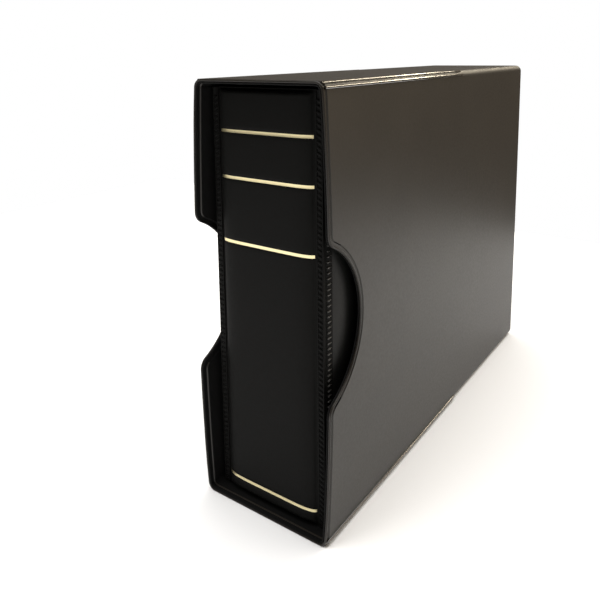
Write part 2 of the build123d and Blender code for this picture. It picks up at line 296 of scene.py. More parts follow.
def linear(colour):
    """An sRGB hex colour as linear red, green, blue and alpha."""
    channels = [int(colour[i : i + 2], 16) / 255 for i in (1, 3, 5)]
    return [c / 12.92 if c <= 0.04045 else ((c + 0.055) / 1.055) ** 2.4 for c in channels] + [1.0]


def add_node(tree, kind, inputs=None, **settings):
    """Adds a node, sets its properties, and sets or links its inputs."""
    node = tree.nodes.new(kind)
    for name, value in settings.items():
        setattr(node, name, value)
    for name, value in (inputs or {}).items():
        if isinstance(value, bpy.types.NodeSocket):
            tree.links.new(value, node.inputs[name])
        else:
            node.inputs[name].default_value = value
    return node


def new_material(name):
    """An empty node material with its shader, and the object coordinates in millimetres."""
    material = bpy.data.materials.new(name)
    material.use_nodes = True
    tree = material.node_tree
    tree.nodes.clear()
    shader = add_node(tree, "ShaderNodeBsdfPrincipled")
    add_node(tree, "ShaderNodeOutputMaterial", {"Surface": shader.outputs["BSDF"]})
    place = add_node(tree, "ShaderNodeTexCoord")
    millimetres = add_node(
        tree,
        "ShaderNodeVectorMath",
        {0: place.outputs["Object"], 1: (1 / MM, 1 / MM, 1 / MM)},
        operation="MULTIPLY",
    )
    return material, tree, shader, millimetres.outputs["Vector"]


def roughness_between(tree, noise, smoothest, roughest):
    """A roughness that follows the noise from smoothest to roughest."""
    limits = {"From Min": 0.3, "From Max": 0.7, "To Min": smoothest, "To Max": roughest}
    return add_node(tree, "ShaderNodeMapRange", {"Value": noise.outputs["Fac"], **limits})


def emboss(tree, shader, relief, strength, height):
    """Bumps the surface by the relief, whose height is in millimetres."""
    settings = {"Height": relief, "Strength": strength, "Distance": height * MM}
    bump = add_node(tree, "ShaderNodeBump", settings)
    tree.links.new(bump.outputs["Normal"], shader.inputs["Normal"])


def embossed_leatherette(name, colour, worn, gloss, smoothest, roughest, height, coat):
    """PVC-coated leatherette, calendered over a grain roll: fine pebbles, soft sheen and a little wear."""
    grain = 0.9
    material, tree, shader, place = new_material(name)
    cells = add_node(tree, "ShaderNodeTexVoronoi", {"Vector": place, "Scale": 1 / grain, "Randomness": 0.9})
    creases = add_node(
        tree, "ShaderNodeTexNoise", {"Vector": place, "Scale": 0.6 / grain, "Detail": 4.0, "Roughness": 0.6}
    )
    blotches = add_node(tree, "ShaderNodeTexNoise", {"Vector": place, "Scale": 1 / 45, "Detail": 3.0})
    pebbles = add_node(
        tree,
        "ShaderNodeMath",
        {0: cells.outputs["Distance"], 1: creases.outputs["Fac"]},
        operation="MULTIPLY",
    )
    tone = add_node(
        tree,
        "ShaderNodeMapRange",
        {"Value": blotches.outputs["Fac"], "From Min": 0.35, "From Max": 0.7, "To Min": 0.0, "To Max": 0.2},
    )
    base = add_node(tree, "ShaderNodeMix", data_type="RGBA")
    base.inputs[6].default_value = linear(colour)
    base.inputs[7].default_value = linear(worn)
    tree.links.new(tone.outputs["Result"], base.inputs[0])
    rough = roughness_between(tree, creases, smoothest, roughest)
    shader.inputs["Specular IOR Level"].default_value = gloss
    shader.inputs["Coat Weight"].default_value = coat
    shader.inputs["Coat Roughness"].default_value = 0.12
    emboss(tree, shader, pebbles.outputs["Value"], 0.5, height)
    tree.links.new(base.outputs[2], shader.inputs["Base Color"])
    tree.links.new(rough.outputs["Result"], shader.inputs["Roughness"])
    return material


def black_lining():
    """Black paper-backed lining cloth: matt, with a fine tooth."""
    material, tree, shader, place = new_material("black_lining_cloth")
    tooth = add_node(tree, "ShaderNodeTexNoise", {"Vector": place, "Scale": 2.2, "Detail": 3.0})
    emboss(tree, shader, tooth.outputs["Fac"], 0.5, 0.08)
    shader.inputs["Base Color"].default_value = linear("#0c0c0c")
    shader.inputs["Roughness"].default_value = 0.9
    shader.inputs["Specular IOR Level"].default_value = 0.2
    return material


def gold_foil(colour):
    """Hot-stamped gold foil: metallic, a little rubbed and uneven."""
    material, tree, shader, place = new_material("hot_stamped_gold_foil")
    rub = add_node(
        tree, "ShaderNodeTexNoise", {"Vector": place, "Scale": 0.9, "Detail": 5.0, "Roughness": 0.7}
    )
    rough = roughness_between(tree, rub, 0.26, 0.4)
    shader.inputs["Base Color"].default_value = linear(colour)
    shader.inputs["Metallic"].default_value = 1.0
    tree.links.new(rough.outputs["Result"], shader.inputs["Roughness"])
    return material


def nickel_plate():
    """Bright nickel on stamped steel: clear reflections with faint drawing lines."""
    material, tree, shader, place = new_material("nickel_plated_steel")
    lines = add_node(tree, "ShaderNodeTexNoise", {"Vector": place, "Scale": 1.5, "Detail": 2.0})
    rough = roughness_between(tree, lines, 0.14, 0.26)
    shader.inputs["Base Color"].default_value = linear("#c9c6bf")
    shader.inputs["Metallic"].default_value = 1.0
    tree.links.new(rough.outputs["Result"], shader.inputs["Roughness"])
    return material


def greyboard():
    """Grey recycled board: matt, with darker and lighter fibres."""
    material, tree, shader, place = new_material("greyboard")
    fibres = add_node(tree, "ShaderNodeTexNoise", {"Vector": place, "Scale": 1.2, "Detail": 6.0})
    ramp = add_node(tree, "ShaderNodeMix", {0: fibres.outputs["Fac"]}, data_type="RGBA")
    ramp.inputs[6].default_value = linear("#8a857b")
    ramp.inputs[7].default_value = linear("#a8a399")
    tree.links.new(ramp.outputs[2], shader.inputs["Base Color"])
    shader.inputs["Roughness"].default_value = 0.95
    return material


def pale_floor(colour):
    """Seamless paper: pale and matt, with the faintest tooth."""
    material, tree, shader, place = new_material("seamless_paper")
    tooth = add_node(tree, "ShaderNodeTexNoise", {"Vector": place, "Scale": 0.5, "Detail": 2.0})
    emboss(tree, shader, tooth.outputs["Fac"], 0.1, 0.05)
    shader.inputs["Base Color"].default_value = linear(colour)
    shader.inputs["Roughness"].default_value = 0.9
    shader.inputs["Specular IOR Level"].default_value = 0.1
    return material


# Modelling helpers


def clear_selection():
    """Nothing is selected afterwards, so that the next operator acts on the new piece alone."""
    if bpy.context.mode != "OBJECT":
        bpy.ops.object.mode_set(mode="OBJECT")
    bpy.ops.object.select_all(action="DESELECT")


def select_only(piece):
    """Selects the piece alone and makes it active."""
    clear_selection()
    piece.select_set(True)
    bpy.context.view_layer.objects.active = piece


def settle(name):
    """Names the primitive just added and moves its place into its mesh."""
    piece = bpy.context.active_object
    piece.name = name
    piece.data.name = name
    bpy.ops.object.transform_apply(location=True, rotation=True, scale=True)
    return piece


def add_block(name, middle, size):
    """A block to shape further."""
    clear_selection()
    bpy.ops.mesh.primitive_cube_add(size=1, location=middle)
    bpy.context.active_object.scale = size
    return settle(name)


def add_sheet(name, columns, rows, middle, width, height):
    """A finely divided upright sheet across the front."""
    clear_selection()
    bpy.ops.mesh.primitive_grid_add(
        x_subdivisions=columns, y_subdivisions=rows, size=1, location=middle, rotation=(pi / 2, 0, 0)
    )
    bpy.context.active_object.scale = (width, height, 1)
    return settle(name)


def open_mesh(piece, mode="FACE"):
    """Enters edit mode with nothing selected."""
    select_only(piece)
    bpy.ops.object.mode_set(mode="EDIT")
    bpy.ops.mesh.select_mode(type=mode)
    bpy.ops.mesh.select_all(action="DESELECT")


def close_mesh():
    """Leaves edit mode."""
    bpy.ops.object.mode_set(mode="OBJECT")


def pick(piece, mode, test):
    """Selects what passes the test: faces by middle and normal, edges by both ends."""
    bpy.ops.mesh.select_mode(type=mode)
    bpy.ops.mesh.select_all(action="DESELECT")
    shape = bmesh.from_edit_mesh(piece.data)
    shape.normal_update()
    if mode == "FACE":
        found = [face for face in shape.faces if test(face.calc_center_median(), face.normal)]
    else:
        found = [edge for edge in shape.edges if test(edge.verts[0].co, edge.verts[1].co)]
    if not found:
        raise RuntimeError(f"nothing to select on {piece.name}")
    for element in found:
        element.select_set(True)
    bmesh.update_edit_mesh(piece.data)


def move(offset):
    """Moves what is selected."""
    bpy.ops.transform.translate(value=offset)


def extrude(offset):
    """Extrudes what is selected by offset."""
    bpy.ops.mesh.extrude_region_move(TRANSFORM_OT_translate={"value": offset})


def spin(center, axis, angle, steps):
    """Carries the selection round an axis by the right-hand rule; the operator itself turns the other way."""
    bpy.ops.mesh.spin(steps=steps, angle=-angle, center=center, axis=axis)


def apply_modifier(piece, kind, **settings):
    """Adds a modifier, sets it and applies it."""
    select_only(piece)
    modifier = piece.modifiers.new(kind.lower(), kind)
    for name, value in settings.items():
        setattr(modifier, name, value)
    bpy.ops.object.modifier_apply(modifier=modifier.name)


def press(piece, axis, height, weight):
    """Moves the surface along axis by height, as much as weight says at each place, from 0 to 1."""
    group = piece.vertex_groups.new(name="press")
    for vertex in piece.data.vertices:
        group.add([vertex.index], min(max(weight(vertex.co), 0), 1), "REPLACE")
    apply_modifier(piece, "DISPLACE", direction=axis, strength=height, mid_level=0.0, vertex_group=group.name)
    piece.vertex_groups.remove(piece.vertex_groups["press"])


def smooth(piece, angle):
    """Shades smooth across every edge that turns by less than the angle, in degrees."""
    select_only(piece)
    bpy.ops.object.shade_smooth_by_angle(angle=radians(angle))


def point_outwards(piece):
    """Merges doubled points and turns every face outwards."""
    open_mesh(piece)
    bpy.ops.mesh.select_all(action="SELECT")
    bpy.ops.mesh.remove_doubles(threshold=0.002 * MM)
    bpy.ops.mesh.normals_make_consistent(inside=False)
    close_mesh()


def finish_piece(piece, body, finish, replaced=()):
    """Gives the piece its material, its body and the CAD nodes that it stands for."""
    if not piece.data.materials:
        piece.data.materials.append(bpy.data.materials[finish])
    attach(piece, body)
    if replaced:
        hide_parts(*replaced)


def entry_place():
    """The height above the middle where the notch's entry curve is centred, and the angle that it turns."""
    case = bpy.context.scene.binder_case
    reach = case.notch_radius + case.notch_entry
    across = reach - case.notch_depth
    return sqrt(reach**2 - across**2), acos(across / reach)


def follow_front_edge(steps, drops):
    """Carries the selected section down a side's front edge, round its notch and on to the foot."""
    case = bpy.context.scene.binder_case
    rise, turn = entry_place()
    straight = case_top - corner_round - (middle_z + rise)
    entry_y = front_y + case.notch_entry
    notch_y = front_y + case.notch_depth - case.notch_radius
    for _ in range(drops):
        extrude((0, 0, -straight / drops))
    spin((0, entry_y, middle_z + rise), (1, 0, 0), turn, steps)
    spin((0, notch_y, middle_z), (1, 0, 0), -2 * turn, 3 * steps)
    spin((0, entry_y, middle_z - rise), (1, 0, 0), turn, steps)
    for _ in range(drops):
        extrude((0, 0, -straight / drops))


def edge_offset(place):
    """How far a place is set back from a side's front edge."""
    case = bpy.context.scene.binder_case
    rise, turn = entry_place()
    height = abs(place.z - middle_z)
    entry_y = front_y + case.notch_entry
    notch_y = front_y + case.notch_depth - case.notch_radius
    if height > rise:
        return place.y - front_y
    if height * (entry_y - notch_y) > (place.y - notch_y) * rise:
        return case.notch_entry - hypot(place.y - entry_y, height - rise)
    return hypot(place.y - notch_y, height) - case.notch_radius


def side_bow(place):
    """How far a side bows out at a place, as a share of the bow at its front."""
    case = bpy.context.scene.binder_case
    along = (place.y - front_y) / (back_y - front_y)
    up = (place.z - middle_z) / (middle_z - corner_round)
    if abs(up) > 1 or abs(place.x) < seam_x:
        return 0
    share = 1 + (case.back_bow / case.front_bow - 1) * along
    return share * (1 - up * up)


def on_side(place):
    """1 or more on the sides, falling to 0 over the last eighth before a long edge."""
    return 8 * (1 - abs(place.z - middle_z) / (middle_z - corner_round))


def bow_sides(piece):
    """Bows both sides of the case out, most at the open front."""
    case = bpy.context.scene.binder_case
    press(piece, "X", case.front_bow, lambda place: side_bow(place) if place.x > 0 else 0)
    press(piece, "X", -case.front_bow, lambda place: side_bow(place) if place.x < 0 else 0)


def mirror_half(piece):
    """The other half of a piece that meets the middle plane, merged with it."""
    apply_modifier(
        piece, "MIRROR", use_axis=(True, False, False), use_mirror_merge=True, merge_threshold=CLOSE
    )


def run_to_middle(piece, level):
    """Turns the section at level round the long edge, and on to the middle plane, where it stays open."""
    side = 1 if level > middle_z else -1
    pick(piece, "FACE", lambda p, n: abs(p.z - level) < CLOSE and abs(n.z) > 0.9)
    spin((seam_x, 0, level), (0, 1, 0), -side * pi / 2, 8)
    extrude((-seam_x, 0, 0))
    bpy.ops.mesh.delete(type="FACE")


class BINDER_OT_sleeve(Operator):
    """Slipcase sleeve: sides, top and bottom in one wrap, with the pressed line behind the beads"""

    bl_idname = "binder.sleeve"
    bl_label = "Sleeve"

    def execute(self, context):
        case = context.scene.binder_case
        bead_depth = wall_thick / 2 + case.bead_proud
        shoulder = bead_depth + case.groove_width
        roll_in = 0.5 * MM
        # The strip that follows the edge ends just before the centre of the notch's entry curve
        strip_end = case.notch_entry - 2 * MM
        # The middle of an arc's facet lies less than this off the true curve
        facet = 0.12 * MM
        long_edge = 60 * MM
        level = case_top - corner_round
        clear_selection()
        bpy.ops.mesh.primitive_plane_add(
            size=1, location=((outer_x + inner_x) / 2, front_y + (shoulder + strip_end) / 2, level)
        )
        bpy.context.active_object.scale = (wall_thick, strip_end - shoulder, 1)
        sleeve = settle("case_sleeve")
        open_mesh(sleeve, "EDGE")
        # The leatherette rolls down into the pressed line, whose web runs on to the beads
        pick(sleeve, "EDGE", lambda a, b: max(a.y, b.y) < front_y + shoulder + CLOSE)
        extrude((0, -roll_in, 0))
        bpy.ops.transform.resize(value=(case.web / wall_thick, 1, 1))
        extrude((0, -(shoulder - roll_in - bead_depth / 2), 0))
        bpy.ops.mesh.select_all(action="SELECT")
        bpy.ops.mesh.select_mode(type="FACE")
        follow_front_edge(steps=6, drops=7)
        bpy.ops.mesh.select_all(action="SELECT")
        bpy.ops.mesh.normals_make_consistent(inside=False)

        def strip_rim(place, normal):
            faces_back = normal.y > 0.2 and abs(normal.x) < 0.1 and abs(normal.z) < 0.999
            return faces_back and abs(edge_offset(place) - strip_end) < facet

        # From the strip's rim the sides run straight back
        pick(sleeve, "FACE", strip_rim)
        bpy.ops.mesh.extrude_region_move()
        bpy.ops.transform.resize(value=(1, 0, 1), center_override=(0, back_y, 0))
        pick(sleeve, "EDGE", lambda a, b: abs(a.y - b.y) > long_edge and abs(a.z - b.z) < CLOSE)
        bpy.ops.mesh.subdivide(number_cuts=24)
        run_to_middle(sleeve, level)
        run_to_middle(sleeve, corner_round)
        close_mesh()
        mirror_half(sleeve)
        bow_sides(sleeve)
        point_outwards(sleeve)
        smooth(sleeve, 35)
        finish_piece(
            sleeve,
            "slipcase",
            "leatherette_case",
            ("case_right_wall", "case_left_wall", "case_top_wall", "case_bottom_wall"),
        )
        # The inner faces are lined
        sleeve.data.materials.append(bpy.data.materials["black_lining_cloth"])
        open_mesh(sleeve)
        pick(sleeve, "FACE", lambda p, n: abs(n.y) < 0.5 and p.x * n.x + (p.z - middle_z) * n.z < 0)
        sleeve.active_material_index = 1
        bpy.ops.object.material_slot_assign()
        close_mesh()
        return {"FINISHED"}


class BINDER_OT_beads(Operator):
    """Twin beads round the open front, where the leatherette is folded over the board's edge"""

    bl_idname = "binder.beads"
    bl_label = "Beads"

    def execute(self, context):
        case = context.scene.binder_case
        level = case_top - corner_round
        lining_radius = wall_thick / 2 - case.bead_radius
        for name, center_x, radius, slot, finish, replaced in (
            (
                "case_front_bead",
                outer_x - case.bead_radius,
                case.bead_radius,
                "case_leatherette",
                "leatherette_bead",
                ("case_right_bead", "case_left_bead", "case_top_bead", "case_bottom_bead"),
            ),
            (
                "case_lining_bead",
                inner_x + lining_radius,
                lining_radius,
                "black_lining",
                "black_lining_cloth",
                (),
            ),
        ):
            clear_selection()
            bpy.ops.mesh.primitive_circle_add(
                vertices=14, radius=radius, fill_type="NGON", location=(center_x, front_y + radius, level)
            )
            bead = settle(name)
            open_mesh(bead)
            bpy.ops.mesh.select_all(action="SELECT")
            follow_front_edge(steps=10, drops=7)
            run_to_middle(bead, level)
            run_to_middle(bead, corner_round)
            close_mesh()
            mirror_half(bead)
            # The beads stand out on the sides, and run level with the top and the foot
            press(bead, "X", case.bead_proud, lambda place: on_side(place) if place.x > 0 else 0)
            press(bead, "X", -case.bead_proud, lambda place: on_side(place) if place.x < 0 else 0)
            bow_sides(bead)
            point_outwards(bead)
            smooth(bead, 60)
            finish_piece(bead, "slipcase", finish, replaced)
        return {"FINISHED"}


class BINDER_OT_welts(Operator):
    """Twin welded ridges along the front part of the long edges, with rounded ends"""

    bl_idname = "binder.welts"
    bl_label = "Welts"

    def execute(self, context):
        case = context.scene.binder_case
        # Each ridge's angle round the long edge, and how far it stands off
        ridge_places = ((22, 0.25 * MM), (55, 0))
        # A ridge starts a little before its CAD node, and ends a little short of it
        start = -0.6 * MM
        first_step = 1.2 * MM
        end_room = 3 * MM
        steps = 12
        # The last steps, each with its length in millimetres and its taper
        rounded_end = ((0.8, 0.85), (0.7, 0.6), (0.4, 0.3))
        for name, across, up in (
            ("case_top_right_welt", 1, 1),
            ("case_top_left_welt", -1, 1),
            ("case_bottom_right_welt", 1, -1),
            ("case_bottom_left_welt", -1, -1),
        ):
            low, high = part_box(name)
            center_z = middle_z + up * (middle_z - corner_round)
            clear_selection()
            ridges = None
            for angle, lift in ridge_places:
                bpy.ops.mesh.primitive_circle_add(
                    vertices=12,
                    radius=case.welt_radius,
                    fill_type="NGON",
                    location=(
                        across * (seam_x + corner_round * cos(radians(angle)) + lift),
                        low.y + start,
                        center_z + up * corner_round * sin(radians(angle)),
                    ),
                    rotation=(pi / 2, 0, 0),
                )
                if ridges is None:
                    ridges = settle(name + "_ridges")
                    open_mesh(ridges)
                    bpy.ops.mesh.select_all(action="SELECT")
                bpy.ops.mesh.select_mode(type="FACE")
                extrude((0, first_step, 0))
                for _ in range(steps):
                    extrude((0, (high.y - low.y - end_room) / steps, 0))
                for length, taper in rounded_end:
                    extrude((0, length * MM, 0))
                    bpy.ops.transform.resize(value=(taper, 1, taper))
                bpy.ops.mesh.select_all(action="DESELECT")
            close_mesh()
            point_outwards(ridges)
            smooth(ridges, 60)
            finish_piece(ridges, "slipcase", "leatherette_welt", (name,))
        return {"FINISHED"}


class BINDER_OT_back_panel(Operator):
    """Back of the case: the turned-in wrap, and a sheet of leatherette laid over it"""

    bl_idname = "binder.back_panel"
    bl_label = "Back panel"

    def execute(self, context):
        low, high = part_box("case_back_wall")
        corner = 2.4 * MM
        # A rounded rim, then the edge of the pasted sheet: how far each step goes inwards and back
        profile = ((0.2, 0.25), (0.4, 0.1), (3.2, 0), (0.05, 0.3), (0.3, 0.1))
        panel = add_block("case_back_panel", (low + high) / 2, high - low)
        open_mesh(panel)
        pick(panel, "EDGE", lambda a, b: abs(a.y - b.y) > 1 * MM)
        bpy.ops.mesh.bevel(offset=corner, segments=6)
        pick(panel, "FACE", lambda p, n: n.y > 0.9)
        for inset, rise in profile:
            extrude((0, rise * MM, 0))
            bpy.ops.transform.resize(
                value=(1 - 2 * inset * MM / (high.x - low.x), 1, 1 - 2 * inset * MM / (high.z - low.z)),
                center_override=(low + high) / 2,
            )
        close_mesh()
        point_outwards(panel)
        smooth(panel, 16)
        finish_piece(panel, "slipcase", "leatherette_case", ("case_back_wall",))
        return {"FINISHED"}


def foil_heights():
    """The middle heights of the gold lines, from the CAD nodes."""
    heights = []
    for number in (1, 2, 3, 4):
        low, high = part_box(f"spine_gold_line_{number}")
        heights.append((low.z + high.z) / 2)
    return heights


class BINDER_OT_spine(Operator):
    """Padded spine: foam under leatherette, welded down round its edge and pressed in under the foil"""

    bl_idname = "binder.spine"
    bl_label = "Spine"

    def execute(self, context):
        book = context.scene.binder_book
        half = pad_high.x
        edge_y = pad_low.y + book.crown
        heights = foil_heights()
        # The share of the swell that the padding has right at its sides
        rim_share = 0.12
        stamp_fade = 3 * MM
        stamp_reach = 0.95 * book.foil_width
        middle = (0, edge_y, (binder_foot + binder_top) / 2)
        pad = add_sheet("spine_padding", 72, 400, middle, 2 * half, binder_top - binder_foot)

        def swell(place):
            inset = min(half - abs(place.x), place.z - binder_foot, binder_top - place.z) - book.flange
            rise = 1 - min(max(inset / book.roll, 0), 1)
            crown = 1 - (abs(place.x) / half) ** book.flatness
            return sqrt(1 - rise * rise) * (rim_share + (1 - rim_share) * crown) if inset > 0 else 0

        def stamped(place):
            near = min(abs(place.z - z) for z in heights)
            fade = min(max((half - abs(place.x)) / stamp_fade, 0), 1)
            return fade / (1 + (near / stamp_reach) ** 4)

        press(pad, "Y", -book.crown, swell)
        press(pad, "Y", book.stamp_depth, stamped)
        open_mesh(pad, "EDGE")
        bpy.ops.mesh.select_non_manifold()
        extrude((0, pad_high.y - edge_y, 0))
        bpy.ops.mesh.edge_face_add()
        close_mesh()
        point_outwards(pad)
        smooth(pad, 50)
        finish_piece(pad, "binder_spine", "leatherette_binder", ("spine_pad",))
        return {"FINISHED"}


class BINDER_OT_gold_lines(Operator):
    """Gold foil lines, hot-stamped across the padding"""

    bl_idname = "binder.gold_lines"
    bl_label = "Gold lines"

    def execute(self, context):
        book = context.scene.binder_book
        pad = bpy.data.objects["spine_padding"]
        start_y = pad_low.y - 2 * MM
        for number, height in enumerate(foil_heights(), start=1):
            node = f"spine_gold_line_{number}"
            low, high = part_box(node)
            foil = add_sheet(
                f"gold_foil_line_{number}", 96, 4, (0, start_y, height), high.x - low.x, book.foil_width
            )
            # The foil is laid on the padding from the front
            apply_modifier(
                foil,
                "SHRINKWRAP",
                target=pad,
                wrap_method="PROJECT",
                use_project_y=True,
                use_positive_direction=True,
                use_negative_direction=False,
                offset=0.05 * MM,
            )
            apply_modifier(foil, "SOLIDIFY", thickness=0.08 * MM, offset=0.0)
            point_outwards(foil)
            smooth(foil, 50)
            finish_piece(foil, "binder_spine", "hot_stamped_gold_foil", (node,))
        return {"FINISHED"}


def moulded_stitch(name, place, size, slant, axis):
    """One moulded stitch: a small rounded bar that leans by slant about axis."""
    stitch = add_block(name, place, size)
    open_mesh(stitch, "EDGE")
    bpy.ops.mesh.select_all(action="SELECT")
    bpy.ops.mesh.bevel(offset=0.36 * min(size), segments=2)
    bpy.ops.mesh.select_all(action="SELECT")
    bpy.ops.transform.rotate(value=-slant, orient_axis=axis, center_override=place)
    close_mesh()
    return stitch


def stitch_row(stitch, direction, pitch, count):
    """Repeats the stitch along a line."""
    apply_modifier(
        stitch,
        "ARRAY",
        count=count,
        use_relative_offset=False,
        use_constant_offset=True,
        constant_offset_displace=[pitch * d for d in direction],
    )


def join(pieces, name):
    """Joins the pieces into the first."""
    clear_selection()
    for piece in pieces:
        piece.select_set(True)
    bpy.context.view_layer.objects.active = pieces[0]
    bpy.ops.object.join()
    pieces[0].name = name
    pieces[0].data.name = name
    return pieces[0]


class BINDER_OT_stitching(Operator):
    """Welded ribs down both corners of the spine: a row of slanting moulded stitches between two rails"""

    bl_idname = "binder.stitching"
    bl_label = "Stitching"

    def execute(self, context):
        book = context.scene.binder_book
        rail_height = 0.35 * MM
        rail_slope = 0.15 * MM
        rail_width = 0.5 * MM
        groove_depth = 0.55 * MM
        first, ends = 2.5 * MM, 3 * MM
        height = binder_top - binder_foot
        count = int((height - ends) / book.stitch_pitch)
        for node, side in (("spine_front_stitch", 1), ("spine_back_stitch", -1)):
            low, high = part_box(node)
            width = high.x - low.x
            middle = (low.x + high.x) / 2
            face_y = low.y + rail_height
            strip = add_block(
                node + "_rib",
                (middle, (face_y + high.y) / 2, (low.z + high.z) / 2),
                (width, high.y - face_y, height),
            )
            open_mesh(strip)
            pick(strip, "FACE", lambda p, n: n.y < -0.9)
            bpy.ops.mesh.inset(thickness=rail_slope)
            move((0, -rail_height, 0))
            bpy.ops.mesh.inset(thickness=rail_width)
            bpy.ops.mesh.inset(thickness=rail_slope)
            move((0, groove_depth, 0))
            close_mesh()
            apply_modifier(strip, "BEVEL", width=0.12 * MM, segments=2, limit_method="ANGLE")
            point_outwards(strip)
            # A stitch fills the groove between the rails
            stitch = moulded_stitch(
                node + "_stitch",
                (middle, face_y, binder_foot + first),
                (width - 1.5 * MM, 0.9 * MM, 1.5 * MM),
                side * book.stitch_slant,
                "Y",
            )
            stitch_row(stitch, (0, 0, 1), book.stitch_pitch, count)
            rib = join([strip, stitch], node + "_rib")
            smooth(rib, 50)
            finish_piece(rib, "binder_spine", "leatherette_binder", (node,))
        return {"FINISHED"}


class BINDER_OT_covers(Operator):
    """Padded covers, welded to their boards all round with a moulded row of stitches"""

    bl_idname = "binder.covers"
    bl_label = "Covers"

    def execute(self, context):
        book = context.scene.binder_book
        pitch = book.stitch_pitch
        rear_corner = 6 * MM
        edge_round = 1.2 * MM
        rows, columns = 40, 48
        border_width = 4.4 * MM
        # The padding starts to swell this far from the edges, nearer by so much at the front, and
        # takes so much more to swell in full
        puff_start = 6 * MM
        puff_nearer = 2.5 * MM
        puff_width = 9 * MM
        front_row = 2.4 * MM
        edge_row = 3.2 * MM
        # The place of a row's first stitch and the room left at both ends. The front row runs from
        # end to end, and the others stop short of the corners.
        first, ends = 2.5 * MM, 3 * MM
        turn, corners = 8 * MM, 15 * MM
        thick, long, wide = 1.3 * MM, 3.5 * MM, 0.9 * MM
        for body, side in (("front_cover", 1), ("back_cover", -1)):
            low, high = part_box(body + "_skin")
            outer = high.x if side > 0 else low.x
            middle = (low + high) / 2
            size = high - low
            skin = add_block(body + "_padding", middle, size)
            open_mesh(skin)
            pick(skin, "EDGE", lambda a, b: abs(a.x - b.x) > 1 * MM and min(a.y, b.y) > middle.y)
            bpy.ops.mesh.bevel(offset=rear_corner, segments=8)
            pick(skin, "FACE", lambda p, n: n.x * side > 0.9)
            bpy.ops.mesh.bevel(offset=edge_round, segments=4, affect="EDGES")
            border = low.y + border_width
            cuts = [((0, 0, low.z + step * size.z / rows), (0, 0, 1)) for step in range(1, rows)]
            cuts += [((0, low.y + step * size.y / columns, 0), (0, 1, 0)) for step in range(1, columns)]
            cuts.append(((0, border, 0), (0, 1, 0)))
            for place, normal in cuts:
                bpy.ops.mesh.select_all(action="SELECT")
                bpy.ops.mesh.bisect(plane_co=place, plane_no=normal, use_fill=False)
            # The welded border with its stitches is flat and matt
            skin.data.materials.append(bpy.data.materials["leatherette_cover"])
            skin.data.materials.append(bpy.data.materials["leatherette_binder"])
            pick(skin, "FACE", lambda p, n: p.y < border)
            skin.active_material_index = 1
            bpy.ops.object.material_slot_assign()
            close_mesh()

            def puff(place):
                # Only the outer face swells
                if side * (place.x - outer) < -2 * CLOSE:
                    return 0
                front = place.y - low.y + puff_nearer
                inset = min(place.z - low.z, high.z - place.z, high.y - place.y, front)
                return min(max((inset - puff_start) / puff_width, 0), 1) ** 0.5

            def belly(place):
                up = (place.z - middle.z) / (size.z / 2)
                return puff(place) * (1 - up * up) * (1 - (place.y - low.y) / size.y)

            press(skin, "X", side * book.cover_belly, belly)
            press(skin, "X", side * book.cover_puff, puff)
            point_outwards(skin)
            smooth(skin, 40)
            finish_piece(skin, body, "leatherette_cover", (body + "_skin",))
            rise = outer + side * 0.05 * MM
            stitches = []
            for label, start_y, start_z, bar, direction, length in (
                ("front", low.y + front_row, low.z + first, (long, wide), (0, 0, 1), size.z - ends),
                ("rear", high.y - edge_row, low.z + turn, (long, wide), (0, 0, 1), size.z - corners),
                ("top", low.y + turn, high.z - edge_row, (wide, long), (0, 1, 0), size.y - corners),
                ("foot", low.y + turn, low.z + edge_row, (wide, long), (0, 1, 0), size.y - corners),
            ):
                stitch = moulded_stitch(
                    f"{body}_stitch_{label}",
                    (rise, start_y, start_z),
                    (thick, *bar),
                    side * book.cover_slant,
                    "X",
                )
                stitch_row(stitch, direction, pitch, int(length / pitch))
                stitches.append(stitch)
            seam = join(stitches, body + "_stitches")
            point_outwards(seam)
            smooth(seam, 50)
            # The stitches' lighter colour is a painted highlight on their tops, not a colour of their own
            finish_piece(seam, body, "leatherette_stitch_painted_highlight", (body + "_stitch",))
        return {"FINISHED"}


class BINDER_OT_turn_ins(Operator):
    """Leatherette turned in over the ends of the spine's board, and round the inside of each cover"""

    bl_idname = "binder.turn_ins"
    bl_label = "Turned-in edges"

    def execute(self, context):
        book = context.scene.binder_book
        board_low, board_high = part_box("spine_board")
        lining_low, lining_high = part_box("spine_lining")
        fold = book.fold_thickness
        depth = lining_high.y - board_low.y
        for name, level in (("upper", board_high.z + fold / 2), ("lower", board_low.z - fold / 2)):
            strip = add_block(
                f"spine_{name}_turn_in",
                (0, (board_low.y + lining_high.y) / 2, level),
                (board_high.x - board_low.x, depth, fold),
            )
            apply_modifier(strip, "BEVEL", width=0.3 * MM, segments=3, limit_method="ANGLE")
            point_outwards(strip)
            smooth(strip, 40)
            finish_piece(strip, "binder_spine", "leatherette_binder")
        sheet = book.sheet_thickness
        for body, side in (("front_cover", 1), ("back_cover", -1)):
            low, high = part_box(body + "_board")
            inner = low.x if side > 0 else high.x
            border = add_block(
                body + "_turn_in",
                (inner - side * sheet / 2, (low.y + high.y) / 2, (low.z + high.z) / 2),
                (sheet, high.y - low.y, high.z - low.z),
            )
            open_mesh(border)
            pick(border, "FACE", lambda p, n: abs(n.x) > 0.9)
            bpy.ops.mesh.inset(thickness=book.turn_in)
            bpy.ops.mesh.delete(type="FACE")
            bpy.ops.mesh.select_mode(type="EDGE")
            bpy.ops.mesh.select_all(action="DESELECT")
            bpy.ops.mesh.select_non_manifold()
            bpy.ops.mesh.bridge_edge_loops()
            close_mesh()
            point_outwards(border)
            smooth(border, 40)
            finish_piece(border, body, "leatherette_binder")
        return {"FINISHED"}


